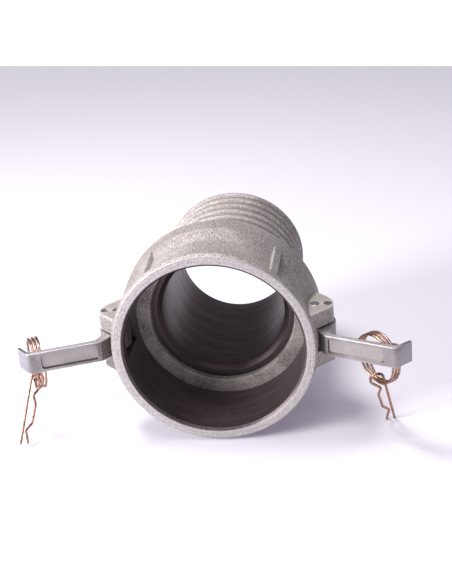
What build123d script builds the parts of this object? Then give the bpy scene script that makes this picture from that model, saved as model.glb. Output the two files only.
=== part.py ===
"""Cam-and-groove coupler, 4 inch, hose shank pattern: cast body, two cam levers, rings and clips.

The coupler lies on its side. Y is the body's axis: the mouth faces -Y and the hose shank +Y.
The origin is on that axis, in the plane of the two lever pins, which stand along Z.
The levers are shown swung open. All sizes are in millimetres and degrees.
"""

from build123d import *

import os
from math import atan2, cos, degrees, radians, sin, sqrt

# Socket and mouth
bore_r = 60.4
mouth_chamfer = 1.8
face_r = 67.4
rim_r = 69.0
rim_bevel = 2.2
rim_land = 2.4
pin_depth = 25.6

# Outside of the casting, as depths behind the mouth face
floor_r = 66.0
floor_start = 6.2
slope_start = 31.0
shoulder_r = 69.8
shoulder_start = 43.4
shoulder_end = 58.6
neck_r = 57.0
neck_start = 67.5
overall_length = 163.0

# Seal and its seat
seal_depth = 51.5
seal_thickness = 6.35
seal_inner_r = 50.8
seal_round = 1.2
groove_r = 62.6
groove_play = 0.3
seal_fit = 0.3
seat_lip_r = 46.8

# Hose shank
shank_bore_r = 43.6
crest_r = 52.0
root_r = 49.7
ridge_count = 7
ridge_pitch = 11.4
ridge_rise = 1.6
ridge_land = 2.6
last_ridge_gap = 3.4
end_chamfer = 1.2

# Lugs, slot and pins
pin_offset = 67.1
pin_r = 3.5
pin_fit = 0.02
pin_proud = 0.25
pin_chamfer = 0.5
slot_half = 8.75
lug_half = 20.0
lug_inner = 61.0
lug_outer = 79.4
lug_foot = 67.4
lug_front_depth = 9.4
lug_corner_depth = 20.8
lug_back_depth = 30.2
lug_shoulder_x = 76.4
lug_shoulder_depth = 35.2
lug_edge = 1.2
slot_front_depth = 9.0
slot_back_play = 0.9
clip_hole_r = 3.0
clip_hole_wall = 0.5

# Ribs across the recess
rib_angle = 39.5
rib_width = 4.6
rib_top_r = 68.9

# Cam levers, in each lever's own frame: u along the arm, n towards its back
lever_half = 7.3
lever_fit = 0.05
cam_r = 13.5
heel_r = 5.5
heel_angle = 202.0
heel_foot_angle = 296.0
face_n = -18.2
arm_thickness = 4.4
root_u = 15.9
root_step_u = 9.4
root_step_n = -13.9
bend_u = 65.3
tip_length = 14.3
tip_angle = 67.0
tip_thickness = 2.2
bend_round = 4.0
neck_u = 20.5
neck_bow = 1.5
lever_edge = 0.7
panel_start = 17.6
panel_end = 56.4
panel_half = 5.2
panel_depth = 0.9
panel_round = 1.8
ring_boss_u = 57.9
ring_boss_n = -8.3
ring_boss_r = 6.2
ring_boss_half = 2.1
ring_hole_r = 4.4
rest_angle = {"right": -24.0, "left": -19.5}

# Pull rings: coils of wire that lie close together in the lever's hole and the clip's eye
ring_r = 17.3
ring_wire_r = 0.85
ring_turns = 3
ring_close = 1.78
ring_open = 2.75
ring_opening_angle = 42.0
ring_drop = 10.95
ring_reach = 13.2
ring_end_angle = 88.0
ring_steps = 20
ring_heading = {"right": 130.0, "left": 63.0}

# Safety clips: wire, eye and legs; lean is how far the tips stand off outwards and backwards
clip_wire_r = 0.9
clip_eye_r = 4.4
clip_length = 46.0
clip_place = {"right": 11.0, "left": 20.0}
clip_lean = {"right": (6.8, 17.2), "left": (9.2, -18.8)}
clip_spread = {"right": (-0.966, -0.146, -0.21), "left": (-0.79, 0.45, -0.40)}

mouth_y = -pin_depth
seat_y = mouth_y + seal_depth + seal_thickness
groove_y = seat_y - seal_thickness - groove_play
end_y = mouth_y + overall_length
hole_angle = degrees(atan2(ring_reach, ring_drop)) - 180
clip_hole_x = lug_outer - clip_hole_wall - clip_hole_r
side_sign = {"right": 1, "left": -1}

os.makedirs("parts", exist_ok=True)


def at_depth(depth):
    """Y of a point a given depth behind the mouth face."""
    return mouth_y + depth


def ridge_points():
    """Barbed outline of the hose shank, from the neck to the last crest."""
    points = []
    last_crest = end_y - last_ridge_gap
    for index in reversed(range(ridge_count)):
        crest_y = last_crest - index * ridge_pitch
        points.append((root_r, crest_y - ridge_land - ridge_rise))
        points.append((crest_r, crest_y - ridge_land))
        points.append((crest_r, crest_y))
    return points


def casting_outline():
    """Section of the casting, as radius and Y, from the mouth round to the socket's bore."""
    first_root_y = end_y - last_ridge_gap - (ridge_count - 1) * ridge_pitch - ridge_land - ridge_rise
    return [
        (bore_r + mouth_chamfer, mouth_y),
        (face_r, mouth_y),
        (rim_r, at_depth(rim_bevel)),
        (rim_r, at_depth(rim_bevel + rim_land)),
        (floor_r, at_depth(floor_start)),
        (floor_r, at_depth(slope_start)),
        (shoulder_r, at_depth(shoulder_start)),
        (shoulder_r, at_depth(shoulder_end)),
        (neck_r, at_depth(neck_start)),
        (root_r + 1.0, first_root_y - 3.0),
        *ridge_points(),
        (root_r, end_y),
        (shank_bore_r + end_chamfer, end_y),
        (shank_bore_r, end_y - end_chamfer),
        (shank_bore_r, seat_y + seat_lip_r - shank_bore_r),
        (seat_lip_r, seat_y),
        (groove_r, seat_y),
        (groove_r, groove_y),
        (bore_r, groove_y),
        (bore_r, at_depth(mouth_chamfer)),
    ]


def lug_outline(sign):
    """Plan of a lug pair: sloping front, flat outer face, and a back that runs to the shoulder."""
    points = [
        (lug_inner, at_depth(lug_front_depth)),
        (lug_foot, at_depth(lug_front_depth)),
        (lug_outer, at_depth(lug_corner_depth)),
        (lug_outer, at_depth(lug_back_depth)),
        (lug_shoulder_x, at_depth(lug_shoulder_depth)),
        (lug_foot + 1.0, at_depth(shoulder_start)),
        (lug_inner, at_depth(shoulder_start)),
    ]
    return [(sign * x, y) for x, y in points]


with BuildPart() as body_casting:
    with BuildSketch(Plane.XY):
        with BuildLine():
            Polyline(*casting_outline(), close=True)
        make_face()
    revolve(axis=Axis.Y)
    for angle in (rib_angle, -rib_angle, 180 - rib_angle, 180 + rib_angle):
        outwards = (sin(radians(angle)), 0, cos(radians(angle)))
        rib_plane = Plane(origin=(0, 0, 0), x_dir=(0, 1, 0), z_dir=outwards)
        with BuildSketch(rib_plane.offset(floor_r - 2)):
            rib_length = shoulder_start - rim_bevel - 1
            with Locations((at_depth(rim_bevel + 1 + rib_length / 2), 0)):
                Rectangle(rib_length, rib_width)
        extrude(amount=rib_top_r - floor_r + 2)
    for sign in (1, -1):
        for level in (slot_half, -lug_half):
            with BuildSketch(Plane.XY.offset(level)) as lug_plan:
                with BuildLine():
                    Polyline(*lug_outline(sign), close=True)
                make_face()
            extrude(amount=lug_half - slot_half)
        slot_back_depth = pin_depth + cam_r + slot_back_play
        with Locations((sign * (bore_r + 4), at_depth((slot_front_depth + slot_back_depth) / 2), 0)):
            Box(20, slot_back_depth - slot_front_depth, 2 * slot_half, mode=Mode.SUBTRACT)
        with Locations((sign * pin_offset, 0, 0)):
            Cylinder(pin_r + pin_fit, 2 * lug_half + 2, mode=Mode.SUBTRACT)
        with Locations((sign * clip_hole_x, 0, 0)):
            Cylinder(clip_hole_r, 2 * lug_half + 2, mode=Mode.SUBTRACT)
    lug_corners = (
        body_casting.edges()
        .filter_by(Axis.Z)
        .filter_by(GeomType.LINE)
        .filter_by(lambda edge: abs(edge.center().X) > lug_shoulder_x - 1)
    )
    fillet(lug_corners, lug_edge)

body_casting.part.label = "body_casting"

with BuildPart() as seal_ring:
    with BuildSketch(Plane.XY):
        with BuildLine():
            Polyline(
                (seal_inner_r, seat_y - seal_thickness),
                (groove_r - seal_fit, seat_y - seal_thickness),
                (groove_r - seal_fit, seat_y),
                (seal_inner_r, seat_y),
                close=True,
            )
        seal_face = make_face()
        inner_corners = seal_face.vertices().group_by(Axis.X)[0]
        fillet(inner_corners, seal_round)
    revolve(axis=Axis.Y)

seal_ring.part.label = "seal_ring"


def make_pivot_pin(side):
    """Plain steel pin held by both lugs, with its lever running on the middle."""
    with BuildPart() as pivot_pin:
        with Locations((side_sign[side] * pin_offset, 0, 0)):
            Cylinder(pin_r, 2 * (lug_half + pin_proud))
        chamfer(pivot_pin.edges().filter_by(GeomType.CIRCLE), pin_chamfer)
    return pivot_pin.part


def lever_frame(side):
    """Plane of one lever: its origin on the pin, x along the arm and y towards its back."""
    sign = side_sign[side]
    turn = radians(rest_angle[side])
    return Plane(
        origin=(sign * pin_offset, 0, 0),
        x_dir=(sign * cos(turn), sin(turn), 0),
        z_dir=(0, 0, sign),
    )


def polar(radius, angle):
    """Point at a radius and angle from the pin, in the lever's frame."""
    return (radius * cos(radians(angle)), radius * sin(radians(angle)))


def lever_outline():
    """Closed outline of the lever, seen along its pin."""
    tip_run = (cos(radians(tip_angle)), sin(radians(tip_angle)))
    tip_front = (bend_u + tip_length * tip_run[0], face_n + tip_length * tip_run[1])
    tip_back = (tip_front[0] - tip_thickness * tip_run[1], tip_front[1] + tip_thickness * tip_run[0])
    back_n = face_n + arm_thickness
    bend_back = (tip_back[0] - (tip_back[1] - back_n) * tip_run[0] / tip_run[1] - 0.8, back_n)
    lobe_start = polar(cam_r, -12)
    lobe_end = polar(cam_r, 90)
    heel = polar(heel_r, heel_angle)
    heel_foot = polar(heel_r, heel_foot_angle)
    flank = polar((cam_r + heel_r) / 2 - 0.6, (90 + heel_angle) / 2)
    neck_foot = (neck_u, back_n)
    neck_middle = ((neck_foot[0] + lobe_start[0]) / 2, (neck_foot[1] + lobe_start[1]) / 2)
    neck_bend = (neck_middle[0] - neck_bow, neck_middle[1] - neck_bow)
    ThreePointArc(heel, polar(heel_r, (heel_angle + heel_foot_angle) / 2), heel_foot)
    face_points = [(root_step_u, root_step_n), (root_u, face_n), (bend_u, face_n)]
    Polyline(heel_foot, *face_points, tip_front, tip_back, bend_back)
    Line(bend_back, neck_foot)
    ThreePointArc(neck_foot, neck_bend, lobe_start)
    ThreePointArc(lobe_start, polar(cam_r, 40), lobe_end)
    ThreePointArc(lobe_end, flank, heel)


def make_lever(side):
    """Cam lever with a recessed panel on its face, a bent tip and a boss behind for the ring."""
    frame = lever_frame(side)
    with BuildPart() as lever:
        with BuildSketch(frame.offset(-lever_half)):
            with BuildLine():
                lever_outline()
            plan = make_face()
            front_bend = plan.vertices().sort_by_distance((bend_u, face_n))[0]
            fillet(front_bend, bend_round)
        extrude(amount=2 * lever_half)
        with BuildSketch(frame.offset(-ring_boss_half)):
            with Locations((ring_boss_u, ring_boss_n)):
                Circle(ring_boss_r)
            with Locations((ring_boss_u, (ring_boss_n + face_n) / 2)):
                Rectangle(2 * ring_boss_r, ring_boss_n - face_n - 2)
        extrude(amount=2 * ring_boss_half)
        with BuildSketch(frame.offset(-lever_half - 1)):
            with Locations((ring_boss_u, ring_boss_n)):
                Circle(ring_hole_r)
        extrude(amount=2 * lever_half + 2, mode=Mode.SUBTRACT)
        with BuildSketch(frame.offset(-lever_half - 1)):
            Circle(pin_r + lever_fit)
        extrude(amount=2 * lever_half + 2, mode=Mode.SUBTRACT)
        face_origin = frame.from_local_coords((0, face_n, 0))
        face_plane = Plane(origin=face_origin, x_dir=frame.x_dir, z_dir=-frame.y_dir)
        with BuildSketch(face_plane):
            with Locations(((panel_start + panel_end) / 2, 0)):
                RectangleRounded(panel_end - panel_start, 2 * panel_half, panel_round)
        extrude(amount=-panel_depth, mode=Mode.SUBTRACT)
    return lever.part


def coil_middle(angle):
    """How far the middle of the bundle of turns stands off the ring's own plane at an angle."""
    return ((angle - ring_end_angle) / 360 % 1 - 0.5) * ring_close


def ring_frame(side):
    """Centre of the ring, its heading away from the lever's hole, and its axis."""
    hole = lever_frame(side).from_local_coords((ring_boss_u, ring_boss_n, 0))
    heading = radians(ring_heading[side])
    sign = side_sign[side]
    along = Vector(sign * cos(heading), sin(heading), 0)
    across = Vector(sign * sin(heading), -cos(heading), 0)
    centre = hole + along * ring_reach - Vector(0, 0, ring_drop) - across * coil_middle(hole_angle)
    return centre, along, across


def ring_radial(along, angle):
    """Direction from the ring's centre: 0 is straight down and 90 is away from the lever."""
    return along * sin(radians(angle)) - Vector(0, 0, cos(radians(angle)))


def coil_spacing(angle, side):
    """Distance between neighbouring turns, closer in the lever's hole and in the clip's eye."""
    apart = min(abs((angle - place + 180) % 360 - 180) for place in (hole_angle, clip_place[side]))
    share = (1 - cos(radians(180 * min(1, apart / ring_opening_angle)))) / 2
    return ring_close + (ring_open - ring_close) * share


def make_pull_ring(side):
    """Pull ring: a coil of round wire, hanging through the boss."""
    centre, along, across = ring_frame(side)
    points = []
    for step in range(ring_turns * ring_steps + 1):
        turn = step / ring_steps
        angle = ring_end_angle + 360 * turn
        offset = (turn - ring_turns / 2) * coil_spacing(angle, side)
        points.append(centre + ring_radial(along, angle) * ring_r + across * offset)
    with BuildPart() as pull_ring:
        with BuildLine() as coil:
            Spline(*points)
        with BuildSketch(Plane(origin=coil.line @ 0, z_dir=coil.line % 0)):
            Circle(ring_wire_r)
        sweep(is_frenet=True)
    return pull_ring.part


def clip_path():
    """Safety clip in its own plane: straight leg, eye over the top, and wavy leg."""
    eye = clip_eye_r
    points = [
        (-eye, clip_length),
        (-eye, -eye),
        (eye, -eye),
        (eye, 3.0),
        (-0.9, 10.9),
        (1.9, 17.2),
        (1.4, 30.6),
        (-2.2, 36.0),
        (1.0, clip_length - 1.0),
    ]
    corner_radii = [eye - 0.1, eye - 0.1, 3.0, 2.5, 5.0, 3.0, 2.0]
    FilletPolyline(*points, radius=corner_radii)


def clip_frame(side):
    """Plane of one clip: its origin on the ring's lowest wires, y down the legs."""
    centre, along, across = ring_frame(side)
    sign = side_sign[side]
    place = clip_place[side]
    eye_centre = centre + ring_radial(along, place) * ring_r + across * coil_middle(place)
    lean_out, lean_back = clip_lean[side]
    drop = sqrt(clip_length**2 - lean_out**2 - lean_back**2)
    legs = Vector(sign * lean_out, lean_back, -drop).normalized()
    spread_x, spread_y, spread_z = clip_spread[side]
    spread = Vector(sign * spread_x, spread_y, spread_z)
    spread = (spread - legs * spread.dot(legs)).normalized()
    return Plane(origin=eye_centre, x_dir=spread, z_dir=spread.cross(legs))


def make_safety_clip(side):
    """Hairpin clip of round wire, hanging by its eye with its tips on the ground."""
    frame = clip_frame(side)
    with BuildPart() as safety_clip:
        with BuildLine(frame) as wire:
            clip_path()
        with BuildSketch(Plane(origin=wire.line @ 0, z_dir=wire.line % 0)):
            Circle(clip_wire_r)
        sweep()
    return safety_clip.part


makers = {
    "pivot_pin": make_pivot_pin,
    "cam_lever": make_lever,
    "pull_ring": make_pull_ring,
    "safety_clip": make_safety_clip,
}

export_step(body_casting.part, "parts/body_casting.step")
export_step(seal_ring.part, "parts/seal_ring.step")
for side in ("left", "right"):
    for name, maker in makers.items():
        piece = maker(side)
        piece.label = f"{name}_{side}"
        export_step(piece, f"parts/{piece.label}.step")
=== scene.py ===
from math import atan2, cos, degrees, pi, radians, sin, sqrt

import bmesh
import bpy
import numpy as np
from mathutils import Matrix, Vector


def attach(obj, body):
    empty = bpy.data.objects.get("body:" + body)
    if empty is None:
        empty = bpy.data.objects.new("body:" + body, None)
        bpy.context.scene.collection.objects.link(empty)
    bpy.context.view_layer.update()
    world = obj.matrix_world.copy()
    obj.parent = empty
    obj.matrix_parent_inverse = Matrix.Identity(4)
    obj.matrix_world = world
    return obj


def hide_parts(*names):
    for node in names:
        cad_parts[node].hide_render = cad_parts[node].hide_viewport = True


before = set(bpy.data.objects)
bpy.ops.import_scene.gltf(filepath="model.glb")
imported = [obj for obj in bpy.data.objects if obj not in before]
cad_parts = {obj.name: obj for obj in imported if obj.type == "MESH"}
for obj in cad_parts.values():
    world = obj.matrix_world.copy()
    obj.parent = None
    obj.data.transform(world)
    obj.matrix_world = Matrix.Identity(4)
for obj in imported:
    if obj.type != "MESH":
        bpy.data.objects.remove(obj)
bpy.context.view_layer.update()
mm = 0.001
sides = {"left": -1, "right": 1}
print("frame loaded:", ", ".join(sorted(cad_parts)))


# small helpers for meshes
def meshPiece(name, points, faces, materials, faceMaterials=None):
    mesh = bpy.data.meshes.new(name)
    mesh.from_pydata([tuple(p) for p in points], [], faces)
    for material in materials:
        mesh.materials.append(material)
    if faceMaterials is not None:
        mesh.polygons.foreach_set("material_index", faceMaterials)
    mesh.update()
    piece = bpy.data.objects.new(name, mesh)
    bpy.context.scene.collection.objects.link(piece)
    return piece


def editMesh(piece, work):
    held = bmesh.new()
    held.from_mesh(piece.data)
    work(held)
    held.to_mesh(piece.data)
    held.free()
    piece.data.update()


def outwardFaces(held):
    bmesh.ops.remove_doubles(held, verts=held.verts, dist=1e-6)
    bmesh.ops.recalc_face_normals(held, faces=held.faces)
    if held.calc_volume(signed=True) < 0:
        bmesh.ops.reverse_faces(held, faces=held.faces)


def softShade(piece, angle=35.0):
    # smooth shading that breaks at real edges
    def work(held):
        for face in held.faces:
            face.smooth = True
        for edge in held.edges:
            edge.smooth = len(edge.link_faces) == 2 and edge.calc_face_angle(0) < radians(angle)
    editMesh(piece, work)


def settle(piece):
    # modifiers become plain mesh
    bpy.context.view_layer.update()
    graph = bpy.context.evaluated_depsgraph_get()
    mesh = bpy.data.meshes.new_from_object(piece.evaluated_get(graph), depsgraph=graph)
    piece.modifiers.clear()
    old, piece.data = piece.data, mesh
    bpy.data.meshes.remove(old)
    return piece


def combine(piece, other, how):
    modifier = piece.modifiers.new(how, "BOOLEAN")
    modifier.operation = how
    modifier.solver = "EXACT"
    modifier.object = other
    settle(piece)
    bpy.data.objects.remove(other)
    return piece


def prism(name, outline, low, high, place, materials, edge=0.0, segments=2):
    # outline lies in the plane of place's first two axes
    count = len(outline)
    points = [place @ Vector((a, b, c)) for c in (low, high) for a, b in outline]
    faces = [list(range(count)), list(range(2 * count - 1, count - 1, -1))]
    for i in range(count):
        j = (i + 1) % count
        faces.append([i, j, count + j, count + i])
    piece = meshPiece(name, points, faces, materials)

    def work(held):
        outwardFaces(held)
        if edge > 0:
            caps = [f for f in held.faces if len(f.verts) == count]
            rims = {e for f in caps for e in f.edges}
            bmesh.ops.bevel(
                held, geom=list(rims), offset=edge, segments=segments,
                profile=0.5, affect="EDGES", clamp_overlap=True,
            )
    editMesh(piece, work)
    return piece


def lathe(name, section, place, materials, around=64):
    # closed section of radius and height, turned about place's third axis
    points = []
    for k in range(around):
        angle = 2 * pi * k / around
        points += [place @ Vector((r * cos(angle), r * sin(angle), h)) for r, h in section]
    count = len(section)
    faces = []
    for k in range(around):
        for i in range(count):
            a, b = k * count, (k + 1) % around * count
            j = (i + 1) % count
            faces.append([a + i, a + j, b + j, b + i])
    piece = meshPiece(name, points, faces, materials)

    def work(held):
        bmesh.ops.remove_doubles(held, verts=held.verts, dist=1e-6)
        flat = [f for f in held.faces if f.calc_area() < 1e-12]
        bmesh.ops.delete(held, geom=flat, context="FACES")
        outwardFaces(held)
    editMesh(piece, work)
    return piece


def circle(x, y, radius, around):
    turns = [2 * pi * k / around for k in range(around)]
    return [(x + radius * cos(a), y + radius * sin(a)) for a in turns]


def roundCorners(points, radii, steps=4, closed=True):
    # each corner becomes a short arc of its own radius
    result = []
    count = len(points)
    for i, (point, radius) in enumerate(zip(points, radii)):
        here = Vector(point)
        if radius <= 0 or (not closed and i in (0, count - 1)):
            result.append(tuple(here))
            continue
        before = Vector(points[i - 1]) - here
        after = Vector(points[(i + 1) % count]) - here
        reach = min(before.length, after.length) * 0.48
        before, after = before.normalized(), after.normalized()
        half = before.angle(after) / 2
        if half > radians(89):
            result.append(tuple(here))
            continue
        cut = min(radius * cos(half) / sin(half), reach)
        bow = cut * sin(half) / cos(half)
        middle = here + (before + after).normalized() * (bow / sin(half))
        start, end = here + before * cut - middle, here + after * cut - middle
        turn = start.angle(end)
        for k in range(steps + 1):
            share = k / steps
            arm = (start * sin((1 - share) * turn) + end * sin(share * turn)) / sin(turn)
            result.append(tuple(middle + arm))
    return result


# small helpers for nodes
def feed(tree, socket, value):
    # a socket is linked, anything else is set
    if isinstance(value, bpy.types.NodeSocket):
        tree.links.new(value, socket)
    else:
        socket.default_value = value


def addNode(tree, kind, inputs=None, **settings):
    node = tree.nodes.new(kind)
    for key, value in settings.items():
        setattr(node, key, value)
    for key, value in (inputs or {}).items():
        feed(tree, node.inputs[key], value)
    return node


def calc(tree, operation, a, b=0.0, c=0.0):
    inputs = {0: a, 1: b, 2: c}
    return addNode(tree, "ShaderNodeMath", inputs, operation=operation).outputs[0]


def ramp(tree, value, low, high, smooth=True):
    node = addNode(
        tree, "ShaderNodeMapRange",
        {"Value": value, "From Min": low, "From Max": high, "To Min": 0.0, "To Max": 1.0},
        interpolation_type="SMOOTHSTEP" if smooth else "LINEAR", clamp=True,
    )
    return node.outputs["Result"]


def noise(tree, where, scale, detail, roughness=0.5, distortion=0.0):
    inputs = {
        "Vector": where, "Scale": scale, "Detail": detail,
        "Roughness": roughness, "Distortion": distortion,
    }
    return addNode(tree, "ShaderNodeTexNoise", inputs).outputs["Fac"]


def noiseAlong(tree, place, detail, roughness=0.5):
    inputs = {"W": place, "Scale": 1.0, "Detail": detail, "Roughness": roughness}
    return addNode(tree, "ShaderNodeTexNoise", inputs, noise_dimensions="1D").outputs["Fac"]


def blendColour(tree, factor, a, b):
    node = addNode(tree, "ShaderNodeMix", data_type="RGBA")
    for name, value in (("Factor_Float", factor), ("A_Color", a), ("B_Color", b)):
        socket = next(s for s in node.inputs if s.identifier == name)
        feed(tree, socket, (*value, 1.0) if isinstance(value, tuple) else value)
    return next(s for s in node.outputs if s.identifier == "Result_Color")


def nodeGroup(name, inputs, outputs, build):
    group = bpy.data.node_groups.new(name, "ShaderNodeTree")
    for key, (kind, value) in inputs.items():
        socket = group.interface.new_socket(key, in_out="INPUT", socket_type=kind)
        if value is not None:
            socket.default_value = value
    for key, kind in outputs.items():
        group.interface.new_socket(key, in_out="OUTPUT", socket_type=kind)
    enter = group.nodes.new("NodeGroupInput")
    leave = group.nodes.new("NodeGroupOutput")
    for key, value in build(group, enter.outputs).items():
        group.links.new(value, leave.inputs[key])
    return group


def useGroup(tree, group, **inputs):
    return addNode(tree, "ShaderNodeGroup", inputs, node_tree=group)


vectorSocket, floatSocket = "NodeSocketVector", "NodeSocketFloat"


# effects that several finishes share
def buildGrain(tree, given):
    # blasted sand grain: pits, specks and a slow unevenness
    fine = noise(tree, given["Vector"], given["Scale"], 3.0, 0.62)
    wide = calc(tree, "MULTIPLY", given["Scale"], 0.31)
    broad = noise(tree, given["Vector"], wide, 2.0)
    cells = calc(tree, "MULTIPLY", given["Scale"], 0.8)
    pits = addNode(
        tree, "ShaderNodeTexVoronoi", {"Vector": given["Vector"], "Scale": cells},
    ).outputs["Distance"]
    height = calc(tree, "MULTIPLY_ADD", fine, 0.7, calc(tree, "MULTIPLY", broad, 0.5))
    height = calc(tree, "MULTIPLY_ADD", pits, 0.35, height)
    return {
        "Speck": ramp(tree, fine, 0.38, 0.6),
        "Pit": calc(tree, "SUBTRACT", 1.0, ramp(tree, calc(tree, "ADD", pits, broad), 0.42, 0.72)),
        "Height": height,
    }


def buildTurning(tree, given):
    # fine tool marks along one coordinate, uneven in depth
    place = calc(tree, "MULTIPLY", given["Along"], given["Density"])
    line = noiseAlong(tree, place, 2.0, 0.7)
    coarse = noiseAlong(tree, calc(tree, "MULTIPLY", place, 0.17), 1.0)
    return {
        "Line": ramp(tree, line, 0.3, 0.7),
        "Band": ramp(tree, coarse, 0.35, 0.65),
        "Height": calc(tree, "MULTIPLY_ADD", line, 0.7, calc(tree, "MULTIPLY", coarse, 0.3)),
    }


def buildDrift(tree, given):
    # slow colour drift from handling and oxide
    cloud = noise(tree, given["Vector"], given["Scale"], 4.0, 0.55, 0.4)
    return {"Drift": ramp(tree, cloud, 0.34, 0.68)}


def buildWearAndCreaseShade(tree, given):
    # rubbed edges: bright where the shape is sharp and the grain is high; painted shade: darker in
    # concave creases
    edge = ramp(tree, given["Pointiness"], 0.505, 0.56)
    creaseShade = calc(tree, "SUBTRACT", 1.0, ramp(tree, given["Pointiness"], 0.43, 0.497))
    broken = noise(tree, given["Vector"], 420.0, 3.0)
    return {
        "Edge": calc(tree, "MULTIPLY", edge, ramp(tree, broken, 0.25, 0.6)),
        "CreaseShade": creaseShade,
    }


scaleInputs = {"Vector": (vectorSocket, None), "Scale": (floatSocket, 900.0)}
grainField = nodeGroup(
    "grainField", scaleInputs,
    {"Speck": floatSocket, "Pit": floatSocket, "Height": floatSocket}, buildGrain,
)
turningMarks = nodeGroup(
    "turningMarks", {"Along": (floatSocket, 0.0), "Density": (floatSocket, 1500.0)},
    {"Line": floatSocket, "Band": floatSocket, "Height": floatSocket}, buildTurning,
)
colourDrift = nodeGroup("colourDrift", scaleInputs, {"Drift": floatSocket}, buildDrift)
edgeWearAndCreaseShade = nodeGroup(
    "edgeWearAndCreaseShade", {"Vector": (vectorSocket, None), "Pointiness": (floatSocket, 0.5)},
    {"Edge": floatSocket, "CreaseShade": floatSocket}, buildWearAndCreaseShade,
)


def newFinish(name, metallic, specular=0.5):
    material = bpy.data.materials.new(name)
    material.use_nodes = True
    tree = material.node_tree
    shader = tree.nodes["Principled BSDF"]
    shader.inputs["Metallic"].default_value = metallic
    shader.inputs["Specular IOR Level"].default_value = specular
    where = addNode(tree, "ShaderNodeTexCoord").outputs["Object"]
    return material, tree, shader, where


def giveCoat(tree, shader, colour, mask, roughness):
    # roughness is the pair's first value where the mask is one, its second where it is zero
    full, bare = roughness
    tree.links.new(colour, shader.inputs["Base Color"])
    rough = calc(tree, "MULTIPLY_ADD", mask, full - bare, bare)
    tree.links.new(rough, shader.inputs["Roughness"])


def giveBump(tree, shader, height, strength, distance):
    bump = addNode(
        tree, "ShaderNodeBump", {"Strength": strength, "Distance": distance, "Height": height},
    )
    tree.links.new(bump.outputs["Normal"], shader.inputs["Normal"])


def axisDistance(tree, where):
    # distance from the body's axis, and the place along it
    parts = addNode(tree, "ShaderNodeSeparateXYZ", {"Vector": where}).outputs
    square = calc(tree, "ADD", calc(tree, "MULTIPLY", parts["X"], parts["X"]),
                  calc(tree, "MULTIPLY", parts["Z"], parts["Z"]))
    return calc(tree, "SQRT", square), parts["Y"]


castLook = {
    "pale": (0.55, 0.508, 0.495),
    "dull": (0.19, 0.166, 0.16),
    # pit colour, also used as painted shade in creases and ridge roots
    "pitAndShade": (0.085, 0.07, 0.068),
    "rubbedAndHighlight": (0.75, 0.72, 0.71),
    "metallic": 0.38,
    "roughness": (0.55, 0.75),
    "grain": 1050.0,
    "bump": 0.00022,
    "valleyShadeR": (0.0496, 0.0518),
}
rimLook = {
    "pale": (0.66, 0.625, 0.625),
    "dull": (0.29, 0.265, 0.265),
    "metallic": 0.5,
    "roughness": (0.4, 0.6),
    "lines": 1500.0,
    "grain": 1500.0,
}
boreLook = {
    "pale": (0.24, 0.195, 0.21),
    "dull": (0.045, 0.033, 0.037),
    "warm": (0.21, 0.15, 0.125),
    "metallic": 0.8,
    "roughness": (0.34, 0.52),
    "lines": 2400.0,
    "grain": 1300.0,
    "seatBand": (0.03, 0.022, 0.025),
    "seatBandY": 0.0325,
    "seatBandReach": (0.0008, 0.0042),
}


def makeCastSkin():
    look = castLook
    material, tree, shader, where = newFinish("castSkin", look["metallic"])
    grain = useGroup(tree, grainField, Vector=where, Scale=look["grain"]).outputs
    drift = useGroup(tree, colourDrift, Vector=where, Scale=22.0).outputs["Drift"]
    sharp = addNode(tree, "ShaderNodeNewGeometry").outputs["Pointiness"]
    wearAndShade = useGroup(tree, edgeWearAndCreaseShade, Vector=where, Pointiness=sharp).outputs
    tone = calc(tree, "MULTIPLY_ADD", grain["Speck"], 0.7, calc(tree, "MULTIPLY", drift, 0.3))
    colour = blendColour(tree, tone, look["dull"], look["pale"])
    colour = blendColour(tree, calc(tree, "MULTIPLY", grain["Pit"], 0.5), colour, look["pitAndShade"])
    # painted shade: concave creases darkened towards the pit colour
    colour = blendColour(tree, calc(tree, "MULTIPLY", wearAndShade["CreaseShade"], 0.45), colour, look["pitAndShade"])
    away, along = axisDistance(tree, where)
    # painted shade in the roots between the shank ridges
    valleyShade = calc(tree, "SUBTRACT", 1.0, ramp(tree, away, *look["valleyShadeR"]))
    valleyShade = calc(tree, "MULTIPLY", valleyShade, ramp(tree, along, 0.047, 0.05))
    colour = blendColour(tree, calc(tree, "MULTIPLY", valleyShade, 0.5), colour, look["pitAndShade"])
    colour = blendColour(tree, calc(tree, "MULTIPLY", wearAndShade["Edge"], 0.6), colour, look["rubbedAndHighlight"])
    giveCoat(tree, shader, colour, grain["Speck"], look["roughness"])
    giveBump(tree, shader, grain["Height"], 0.9, look["bump"])
    return material


def makeTurnedRim():
    look = rimLook
    material, tree, shader, where = newFinish("turnedRim", look["metallic"])
    away = axisDistance(tree, where)[0]
    marks = useGroup(tree, turningMarks, Along=away, Density=look["lines"]).outputs
    grain = useGroup(tree, grainField, Vector=where, Scale=look["grain"]).outputs
    tone = calc(tree, "MULTIPLY", grain["Speck"], 0.6)
    tone = calc(tree, "MULTIPLY_ADD", marks["Line"], 0.4, tone)
    colour = blendColour(tree, tone, look["dull"], look["pale"])
    pits = calc(tree, "MULTIPLY", grain["Pit"], 0.3)
    colour = blendColour(tree, pits, colour, castLook["pitAndShade"])
    giveCoat(tree, shader, colour, tone, look["roughness"])
    height = calc(tree, "MULTIPLY_ADD", marks["Height"], 0.7,
                  calc(tree, "MULTIPLY", grain["Height"], 0.5))
    giveBump(tree, shader, height, 0.8, 0.00012)
    return material


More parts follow.
